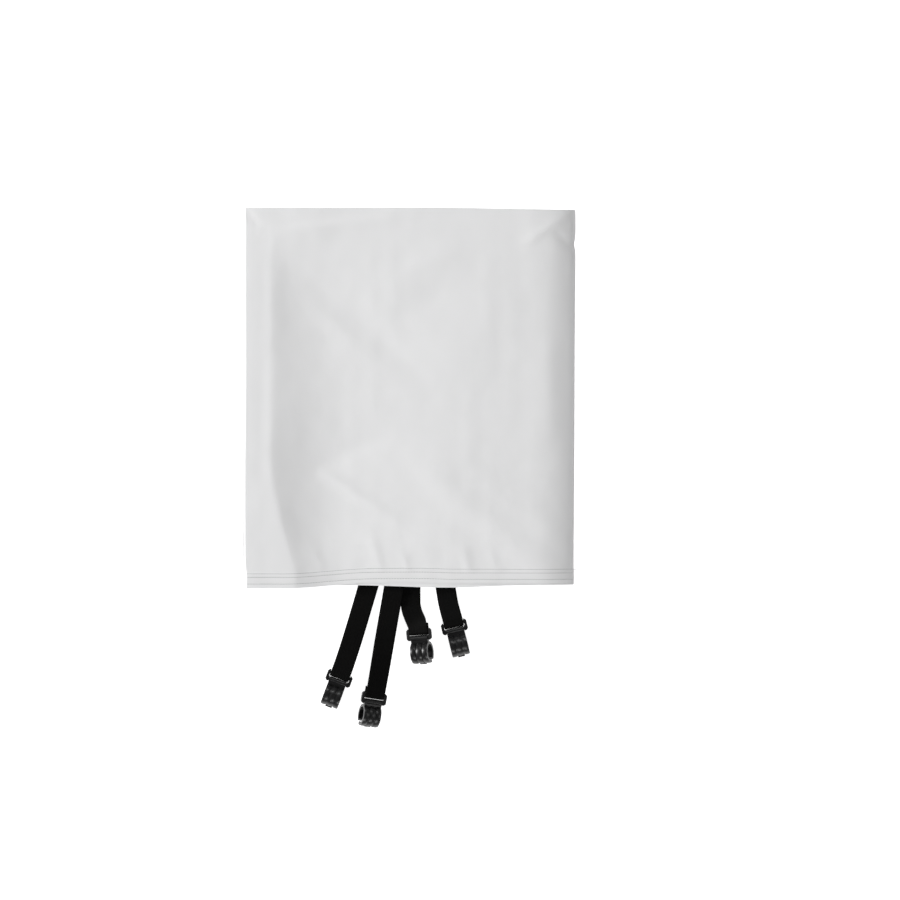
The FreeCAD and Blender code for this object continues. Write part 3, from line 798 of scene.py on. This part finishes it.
baseStitches = sew("hem_stitches_base", hemGuides(0.003, creaseSpine - margin), threadMaterial,
                   hemRows["stitch"], 3)
lidStitches = sew("hem_stitches_lid", hemGuides(spineEnd, creaseLeft - 0.002), threadMaterial,
                  hemRows["stitch"], 4)
spineStitches = sew("hem_stitches_spine", hemGuides(creaseSpine - margin, spineEnd),
                    threadMaterial, hemRows["stitch"], 5)


threadRadius = 0.00034


def threadEnd(u, v, way, length):
    # A loose end of thread standing out of the cloth, as a thin closed tube.
    u, v = np.array([u]), np.array([v])
    normal = coverNormal(u, v)[0]
    start = coverPoint(u, v)[0] - normal * halfThickness(u, v)[0]
    share = np.linspace(0, 1, 7)[:, None]
    points = start - normal * length * share + np.array(way) * length * share ** 2
    tangent = np.gradient(points, axis=0)
    tangent /= np.linalg.norm(tangent, axis=1, keepdims=True)
    first = np.cross(tangent, (0.3, 0.9, 0.2))
    first /= np.linalg.norm(first, axis=1, keepdims=True)
    second = np.cross(tangent, first)
    angles = np.linspace(0, 2 * math.pi, 6, endpoint=False)[None, :, None]
    ring = first[:, None] * np.cos(angles) + second[:, None] * np.sin(angles)
    rings = points[:, None] + ring * threadRadius
    index = np.arange(rings.shape[0] * 6).reshape(-1, 6)
    after = np.roll(index, -1, axis=1)
    faces = [np.stack([index[:-1], after[:-1], after[1:], index[1:]], -1).reshape(-1, 4)]
    faces.append(index[0][[3, 2, 1, 0, 0, 5, 4, 3]].reshape(2, 4))
    faces.append(index[-1][[0, 1, 2, 3, 3, 4, 5, 0]].reshape(2, 4))
    rings = rings.reshape(-1, 3)
    return rings, np.concatenate(faces), rings[:, :2]


looseThreads = meshFromGrids("loose_threads", [
    threadEnd(creaseSpine + 7.5 * pitch * 1.75, cover["rows"][2], (0.3, 0.5, -0.2), 0.0030),
    threadEnd(spineEnd - margin, creaseTop + 0.0012, (0.4, 0.3, 0.3), 0.0024),
], threadMaterial)
print("hem sewn")


def ribbonSection():
    # Cross-section of the webbing as (side, height) points, ribbed on both faces.
    half, thick = webbing["width"] / 2, webbing["thickness"] / 2
    count = webbing["ribs"] * 3
    top = []
    for i in range(count + 1):
        side = -half + 0.0005 + (webbing["width"] - 0.001) * i / count
        rib = math.cos(2 * math.pi * webbing["ribs"] * i / count)
        edge = 1 - (abs(side) / half) ** 12 * 0.55
        top.append((side, thick * edge - webbing["ribHeight"] * (0.5 - 0.5 * rib)))
    ends = [(half, thick * 0.2), (half, -thick * 0.2)]
    bottom = [(side, -height) for side, height in reversed(top)]
    others = [(-half, -thick * 0.2), (-half, thick * 0.2)]
    return np.array(top + ends + bottom + others)


section = ribbonSection()


def ribbonGrid(centres, sides, ups):
    # A closed length of webbing swept through centres, with its end faces.
    ring = len(section)
    points = (centres[:, None] + sides[:, None] * section[None, :, :1]
              + ups[:, None] * section[None, :, 1:])
    run = np.concatenate([[0], np.cumsum(np.linalg.norm(np.diff(centres, axis=0), axis=1))])
    around = section[:, 0]
    flats = np.stack(np.broadcast_arrays(run[:, None], around[None, :]), -1).reshape(-1, 2)
    index = np.arange(len(centres) * ring).reshape(len(centres), ring)
    after = np.roll(index, -1, axis=1)
    faces = [np.stack([index[:-1], after[:-1], after[1:], index[1:]], -1).reshape(-1, 4)]
    half = ring // 2
    for row, flip in ((index[0], False), (index[-1], True)):
        top = row[:half]
        bottom = row[half:][::-1]
        cap = np.stack([top[:-1], bottom[:-1], bottom[1:], top[1:]], -1)
        faces.append(cap[:, ::-1] if flip else cap)
    return points.reshape(-1, 3), np.concatenate(faces), flats


def sweep(centres, firstSide, lastSide, firstWay=None, lastWay=None):
    # Side and up directions along a path, turning from one side vector to the other.
    tangents = np.gradient(centres, axis=0)
    if firstWay is not None:
        tangents[0] = firstWay
    if lastWay is not None:
        tangents[-1] = lastWay
    tangents /= np.linalg.norm(tangents, axis=1, keepdims=True)
    share = smoothStep(0, 1, np.linspace(0, 1, len(centres)))[:, None]
    sides = np.array(firstSide)[None] * (1 - share) + np.array(lastSide)[None] * share
    sides -= tangents * np.sum(sides * tangents, axis=1, keepdims=True)
    sides /= np.linalg.norm(sides, axis=1, keepdims=True)
    ups = np.cross(sides, -tangents)
    ups /= np.linalg.norm(ups, axis=1, keepdims=True)
    return sides, ups


def bezier(start, startWay, end, endWay, count):
    t = np.linspace(0, 1, count)[:, None]
    p0, p3 = np.array(start), np.array(end)
    p1, p2 = p0 + np.array(startWay), p3 - np.array(endWay)
    return (1 - t) ** 3 * p0 + 3 * (1 - t) ** 2 * t * p1 + 3 * (1 - t) * t ** 2 * p2 + t ** 3 * p3


buckle = {
    "barSpacing": 0.00825, "barRadius": 0.0021, "clearance": 0.0001, "lead": 0.006, "tail": 0.010,
    "bendReach": 0.006, "firstHandle": 0.42, "lastHandle": 0.26, "runStep": 0.0018,
}


def buckleFrame(strap):
    # The slider's own axes: its lower bar's middle, along the bar, to the cover, up.
    tilt = joints[f"{strap}_tilt"]
    slide = joints[f"{strap}_adjust"]
    along = -Vector(tilt["axis"]).normalized()
    toCover = -Vector(slide["axis"]).normalized()
    return Vector(tilt["pos_m"]), along, toCover, along.cross(toCover).normalized()


def webHeight(x, y, high):
    # Half way between the layers that a strap's hidden end lies between.
    below, above = (6.5, 7.5) if high else (0.5, 1.5)
    heights = [settle(x, y, layer * pitch, 0)[2] for layer in (below, above)]
    return (heights[0] + heights[1]) / 2 - patch["thickness"] / 4


def patchFrame(strap):
    # The patch's middle and its two directions, as flat arrays.
    low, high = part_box(f"{strap}_patch")
    middle = (np.array(low) + np.array(high)) / 2
    return middle[:2], np.array(hang[strap]["across"])[:2], np.array(hang[strap]["outward"])[:2]


def onWeb(strap, side, along, lift):
    # A point near the sewn end: across, along and above the middle of the webbing.
    middle, across, outward = patchFrame(strap)
    flatPoint = middle + side[..., None] * across + along[..., None] * outward
    height = webHeight(flatPoint[..., 0], flatPoint[..., 1], hang[strap]["high"]) + lift
    return np.concatenate([flatPoint, height[..., None]], axis=-1)


def makePatch(strap):
    side, along = np.meshgrid(np.linspace(-1, 1, 19), np.linspace(-1, 1, 21), indexing="ij")
    corner = 1 - 0.045 * side ** 8 * along ** 8
    side, along = side * corner * patch["width"] / 2, along * corner * patch["length"] / 2
    lift = webbing["thickness"] / 2 + patch["thickness"] / 2 + 0.00006
    middle = onWeb(strap, side, along, lift)
    offset = np.zeros_like(middle)
    offset[..., 2] = -patch["thickness"] / 2
    return meshFromGrids(f"{strap}_patch_cloth", [clothGrid(middle, offset, along, side)],
                         patchMaterial)


def boxStitch(strap, seed):
    half = patch["box"] / 2
    corners = [(-half, -half), (half, -half), (half, half), (-half, half), (-half, -half)]
    routes = [corners, [corners[0], corners[2]], [corners[1], corners[3]]]
    lines = []
    for route in routes:
        for start, end in zip(route[:-1], route[1:]):
            share = np.linspace(0, 1, 12)
            side = start[0] + (end[0] - start[0]) * share
            along = start[1] + (end[1] - start[1]) * share
            points = onWeb(strap, side, along, -webbing["thickness"] / 2 - 0.00004)
            lines.append([(point, (0, 0, -1)) for point in points])
    return sew(f"{strap}_box_stitches", lines, blackThreadMaterial, patch["stitch"], seed)


def makeAnchor(strap):
    # The sewn end, up to just past the bend where the free run starts.
    place = hang[strap]
    start = place["atHem"] - place["outward"] * webbing["hidden"]
    end = place["pivot"] + place["outward"] * buckle["bendReach"]
    share = np.linspace(0, 1, 46)[:, None]
    centres = np.array(start) * (1 - share) + np.array(end) * share
    travelled = np.linalg.norm(centres[:, :2] - centres[0, :2], axis=1)
    hemAt = webbing["hidden"]
    pivotAt = (place["pivot"] - start).to_2d().length
    drop = smoothStep(hemAt - 0.012, max(pivotAt, hemAt + 0.006), travelled)
    centres[:, 2] = webHeight(centres[:, 0], centres[:, 1], place["high"]) * (1 - drop)
    centres[:, 2] += place["pivot"].z * drop
    side = np.array(place["across"])
    sides, ups = sweep(centres, side, side, lastWay=np.array(place["outward"]))
    return meshFromGrids(f"{strap}_webbing_sewn", [ribbonGrid(centres, sides, ups)],
                         webbingMaterial)


def makeRun(strap):
    place = hang[strap]
    origin, along, toCover, up = buckleFrame(strap)
    start = place["pivot"] + place["outward"] * buckle["bendReach"]
    height = buckle["barRadius"] + buckle["clearance"] + webbing["thickness"] / 2
    end = origin + toCover * (buckle["barSpacing"] + buckle["lead"]) + up * height
    reach = (end - start).length
    firstWay, lastWay = place["outward"], -toCover
    count = max(14, int(reach / buckle["runStep"]))
    centres = bezier(start, firstWay * reach * buckle["firstHandle"],
                     end, lastWay * reach * buckle["lastHandle"], count)
    sides, ups = sweep(centres, place["across"], along, np.array(firstWay), np.array(lastWay))
    piece = meshFromGrids(f"{strap}_webbing_run", [ribbonGrid(centres, sides, ups)],
                          webbingMaterial)
    return piece, start, end


# How loosely each loop sits on its bar, and how far it is skewed in the slot.
loopFit = {
    "strap_1": (0.00106, 0.010), "strap_2": (0.00082, 0.001),
    "strap_3": (0.00106, 0.010), "strap_4": (0.00106, 0.010),
}


def makeLoop(strap):
    # Over the slider's upper bar, down through the slot and back underneath.
    origin, along, toCover, up = buckleFrame(strap)
    slack, skew = loopFit[strap]
    radius = buckle["barRadius"] + buckle["clearance"] + webbing["thickness"] / 2
    bar = buckle["barSpacing"]
    route = [(bar + buckle["lead"] * (1 - i / 3), radius) for i in range(3)]
    route += [(bar - (radius + slack) * math.sin(a), radius * math.cos(a))
              for a in np.linspace(0, math.pi, 15)]
    route += [(bar + buckle["tail"] * i / 5, -radius - 0.0006 * (i / 5) ** 2) for i in range(1, 6)]
    centres = np.array([origin + toCover * y + up * z for y, z in route])
    ways = np.gradient(np.array(route), axis=0)
    ways /= np.linalg.norm(ways, axis=1, keepdims=True)
    toCoverArray, upArray = np.array(toCover), np.array(up)
    ups = toCoverArray * ways[:, 1:] - upArray * ways[:, :1]
    inSlot = np.clip((bar - np.array(route)[:, :1]) / radius, 0, 1)
    sides = np.array(along)[None] - toCoverArray * inSlot * skew
    return meshFromGrids(f"{strap}_webbing_loop", [ribbonGrid(centres, sides, ups)],
                         webbingMaterial)


strapPieces = {}
for number, strap in enumerate(straps):
    run, runStart, runEnd = makeRun(strap)
    strapPieces[strap] = {
        "anchor": makeAnchor(strap), "run": run, "start": runStart, "end": runEnd,
        "loop": makeLoop(strap), "patch": makePatch(strap),
        "box": boxStitch(strap, 20 + number),
    }
print("straps laid")


def attachCover():
    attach(coverBase, "cover_base")
    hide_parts("cover_lower_half", "cover_lower_hem")
    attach(coverLid, "cover_lid")
    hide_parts("cover_upper_half", "cover_upper_hem")
    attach(baseStitches, "cover_base")
    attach(lidStitches, "cover_lid")
    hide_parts("hem_stitching")
    middle = stackHeight / 2
    turning = [(piece, radius) for piece, radius, _ in spines]
    for piece, radius in turning + [(spineStitches, 7.5 * pitch), (looseThreads, 7.5 * pitch)]:
        middle - radius
        middle + radius
        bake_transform(piece)
    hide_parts("cover_spine")
    for piece in [coverBase, coverLid] + [piece for piece, _, _ in spines]:
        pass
    # The whole cut is sheetWidth by sheetDepth.
    baseWidth = creaseSpine - margin + sheetWidth - innerEnd
    innerStart - spineEnd


def attachStraps():
    for strap in straps:
        place, pieces = hang[strap], strapPieces[strap]
        web, end = f"{strap}_web", f"{strap}_buckle"
        reach = place["outward"] * buckle["bendReach"]
        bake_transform(pieces["anchor"], "cover_base", web, start=tuple(place["pivot"] - reach),
                 end=tuple(place["pivot"] + reach))
        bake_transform(pieces["run"])
        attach(pieces["loop"], end)
        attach(pieces["patch"], "cover_base")
        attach(pieces["box"], "cover_base")
        for key, node, slot in (("anchor", "anchor", "webbing"), ("run", "run", "webbing"),
                                ("loop", "loop", "webbing"), ("patch", "patch", "patch_fabric"),
                                ("box", "box_stitch", "thread")):
            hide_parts(f"{strap}_{node}")


attachCover()
attachStraps()
for strap in straps:
    for part, material in (("slider", sliderMaterial), ("clip", clipMaterial)):
        node = frame["nodes"][f"{strap}_{part}"]
        node.data.materials.clear()
        node.data.materials.append(material)
print("pieces attached")


studio = {
    "viewWidth": 1.125, "centre": (0.0506, -0.0662), "distance": 3.2,
    "floorHalf": 3.0, "floorGlow": 0.8, "skyStrength": 0.14,
}

# Each lamp: place, size, power. The key is low on the left; the space above stays dark.
lamps = {
    "key": ((-5.6, 1.1, 2.20), (2.4, 2.4), 520),
    "fill": ((2.4, -0.2, 1.9), (1.2, 1.2), 10),
    "rear_softbox": ((0.1, 2.35, 2.1), (2.0, 0.6), 26),
    "front_softbox": ((0.1, -2.85, 2.1), (2.0, 0.6), 34),
}


def makeCamera():
    camera = bpy.data.cameras.new("camera")
    camera.sensor_width = 36
    camera.lens = 36 * (studio["distance"] - stackHeight) / studio["viewWidth"]
    camera.clip_end = 20
    eye = bpy.data.objects.new("camera", camera)
    eye.location = (*studio["centre"], studio["distance"])
    bpy.context.collection.objects.link(eye)
    bpy.context.scene.camera = eye


def makeLight(name, place, target, width, height, power):
    light = bpy.data.lights.new(name, "AREA")
    light.shape = "RECTANGLE"
    light.size, light.size_y = width, height
    light.energy = power
    lamp = bpy.data.objects.new(name, light)
    lamp.location = place
    lamp.rotation_euler = (Vector(target) - Vector(place)).to_track_quat("-Z", "Y").to_euler()
    bpy.context.collection.objects.link(lamp)


def makeFloor():
    half = studio["floorHalf"]
    mesh = bpy.data.meshes.new("floor")
    corners = [(-half, -half, 0), (half, -half, 0), (half, half, 0), (-half, half, 0)]
    mesh.from_pydata(corners, [], [(0, 1, 2, 3)])
    floor = bpy.data.objects.new("floor", mesh)
    bpy.context.collection.objects.link(floor)
    material, _, _ = newMaterial("floor_white", {
        "Base Color": (0.80, 0.80, 0.80, 1.0), "Roughness": 0.9,
        "Emission Color": (1.0, 1.0, 1.0, 1.0), "Emission Strength": studio["floorGlow"],
    })
    mesh.materials.append(material)


def makeWorld():
    world = bpy.data.worlds.new("studio")
    world.use_nodes = True
    background = world.node_tree.nodes["Background"]
    background.inputs["Color"].default_value = (1.0, 1.0, 1.0, 1.0)
    background.inputs["Strength"].default_value = studio["skyStrength"]
    bpy.context.scene.world = world
    bpy.context.scene.view_settings.view_transform = "Standard"


makeCamera()
makeFloor()
makeWorld()
for lampName, (place, lampSize, power) in lamps.items():
    makeLight(lampName, place, (0, -0.1, 0), *lampSize, power)
print("studio ready")
